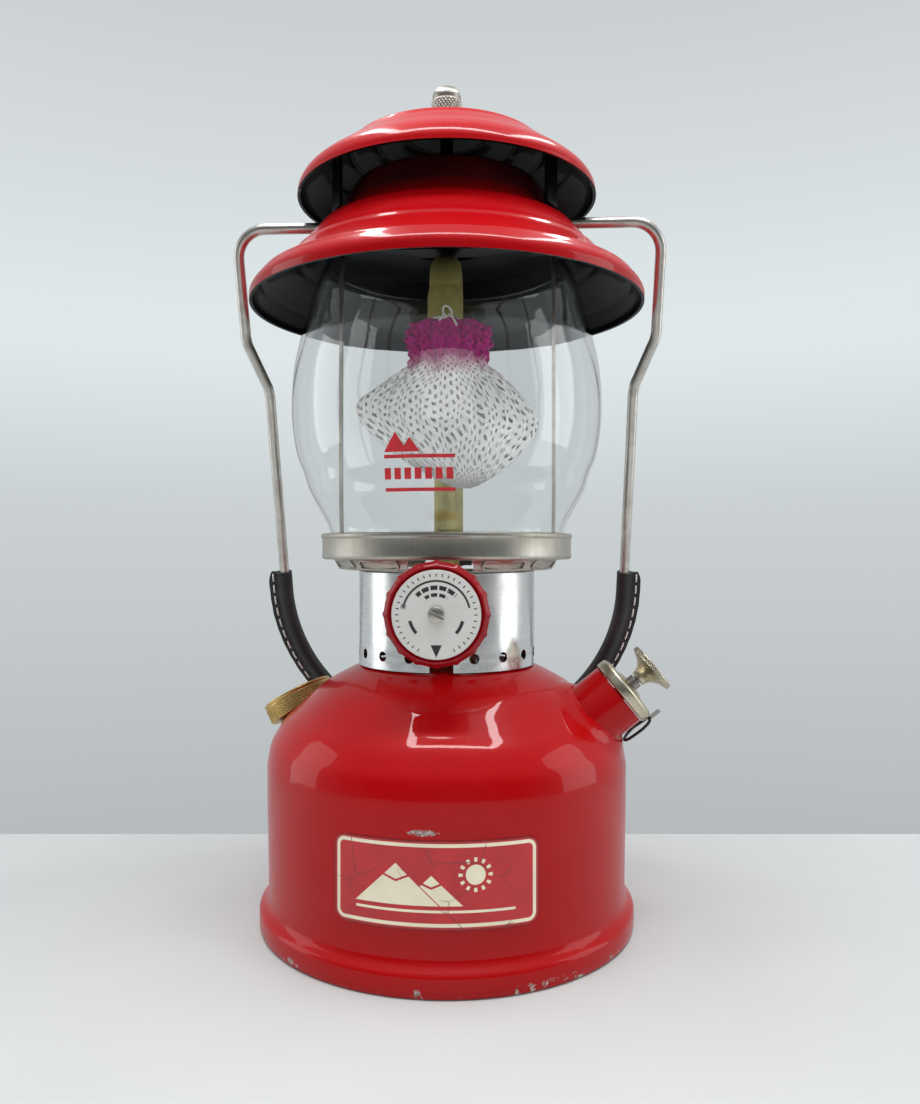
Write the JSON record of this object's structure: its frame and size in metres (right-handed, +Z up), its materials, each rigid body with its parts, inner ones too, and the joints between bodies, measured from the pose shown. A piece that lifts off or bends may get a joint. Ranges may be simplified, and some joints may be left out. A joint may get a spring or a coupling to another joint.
{
  "type": "camping lantern",
  "caption": "Pressure lantern: round fuel tank with pump and filler, perforated collar with valve knob, glass globe over a hanging mantle, two-tier ventilator and swinging bail.",
  "frame": {"origin": "on the tank axis at floor level, under the recessed bottom panel", "axes": "+Z up along the tank axis; front with the valve knob towards -Y; hand pump towards +X"},
  "size_m": [0.1642, 0.1475, 0.3085],
  "materials": {
    "red_enamel": "glossy baked enamel, lightly scratched",
    "black_enamel": "satin heat-proof enamel",
    "chrome_plate": "bright plate with faint rolling lines",
    "nickel_plate": "worn nickel plate",
    "steel": "heat-dulled steel",
    "brass": "aged brass",
    "glass": "clear heat-resistant glass",
    "mantle_knit": "limp open knit, dyed at the gathered top",
    "cotton_string": "twisted string",
    "grip_leather": "black sewn sleeve with pale stitches",
    "pump_leather": "oiled cup leather",
    "gasket_rubber": "flat black washer",
    "dial_plate": "printed face plate",
    "spring_wire": "dark oiled wire",
    "burner_ceramic": "unglazed burner cap"
  },
  "bodies": {
    "base": {"fount_shell": "red_enamel", "fount_bottom": "red_enamel", "filler_neck": "brass", "pump_barrel": "brass", "pump_check_valve": "brass", "pump_cap": "nickel_plate", "pump_cap_clip": "spring_wire", "collar": "chrome_plate", "valve_body": "brass", "fuel_pickup": "brass", "packing_nut": "brass", "globe_rest": "nickel_plate", "cage_upright_left": "steel", "cage_upright_right": "steel", "cage_bridge": "steel", "generator": "brass", "burner_tube": "steel", "burner_cap": "burner_ceramic", "mantle_string": "cotton_string", "mantle": "mantle_knit"},
    "filler_carrier": {"filler_gasket": "gasket_rubber"},
    "filler_lid": {"filler_cap": "brass"},
    "plunger": {"pump_plunger": "steel", "pump_cup": "pump_leather"},
    "pump_handle": {"pump_knob": "nickel_plate"},
    "stem_rod": {"air_stem": "steel"},
    "valve_control": {"valve_stem": "steel", "valve_knob": "red_enamel", "direction_disc": "dial_plate", "knob_screw": "nickel_plate"},
    "chimney": {"globe": "glass"},
    "ventilator": {"vent_skirt": "red_enamel", "vent_cap": "red_enamel", "vent_strut_1": "black_enamel", "vent_strut_2": "black_enamel", "vent_strut_3": "black_enamel", "vent_strut_4": "black_enamel", "vent_baffle": "black_enamel"},
    "bail": {"bail_wire": "nickel_plate", "bail_grip": "grip_leather"},
    "top_nut": {"ball_nut": "nickel_plate"}
  },
  "joints": [
    {"name": "ventilator_lift", "type": "slide", "parent": "base", "child": "ventilator", "axis": [0, 0, 1], "range_m": [0, 0.3]},
    {"name": "globe_lift", "type": "slide", "parent": "base", "child": "chimney", "axis": [0, 0, 1], "range_m": [0, 0.18]},
    {"name": "bail_swing", "type": "hinge", "parent": "ventilator", "child": "bail", "pos_m": [0, 0, 0.2569], "axis": [1, 0, 0], "range_deg": [0, 321.5]},
    {"name": "ball_nut_turn", "type": "hinge", "parent": "ventilator", "child": "top_nut", "pos_m": [0, 0, 0.3], "axis": [0, 0, 1], "range_deg": [0, 1800]},
    {"name": "valve_turn", "type": "hinge", "parent": "base", "child": "valve_control", "pos_m": [0, 0, 0.1151], "axis": [0, -1, 0], "range_deg": [0, 720]},
    {"name": "pump_stroke", "type": "slide", "parent": "base", "child": "plunger", "axis": [0.7771, 0, 0.6293], "range_m": [0, 0.06]},
    {"name": "pump_knob_turn", "type": "hinge", "parent": "plunger", "child": "pump_handle", "pos_m": [0.05498, -0.015, 0.0785], "axis": [0.7771, 0, 0.6293], "range_deg": [0, 360]},
    {"name": "air_stem_turn", "type": "hinge", "parent": "base", "child": "stem_rod", "pos_m": [0.05498, -0.015, 0.0785], "axis": [0.7771, 0, 0.6293], "range_deg": [0, 360]},
    {"name": "filler_cap_rise", "type": "slide", "parent": "base", "child": "filler_carrier", "axis": [-0.4698, 0.171, 0.866], "range_m": [0, 0.0072]},
    {"name": "filler_cap_turn", "type": "hinge", "parent": "filler_carrier", "child": "filler_lid", "pos_m": [-0.05805, 0.02113, 0.0711], "axis": [-0.4698, 0.171, 0.866], "range_deg": [0, 1440]}
  ],
  "couplings": [
    {"joint": "globe_lift", "follows": "ventilator_lift", "ratio": 0.6},
    {"joint": "air_stem_turn", "follows": "pump_knob_turn", "ratio": 1},
    {"joint": "filler_cap_rise", "follows": "filler_cap_turn", "m_per_rad": 0.00028648}
  ]
}
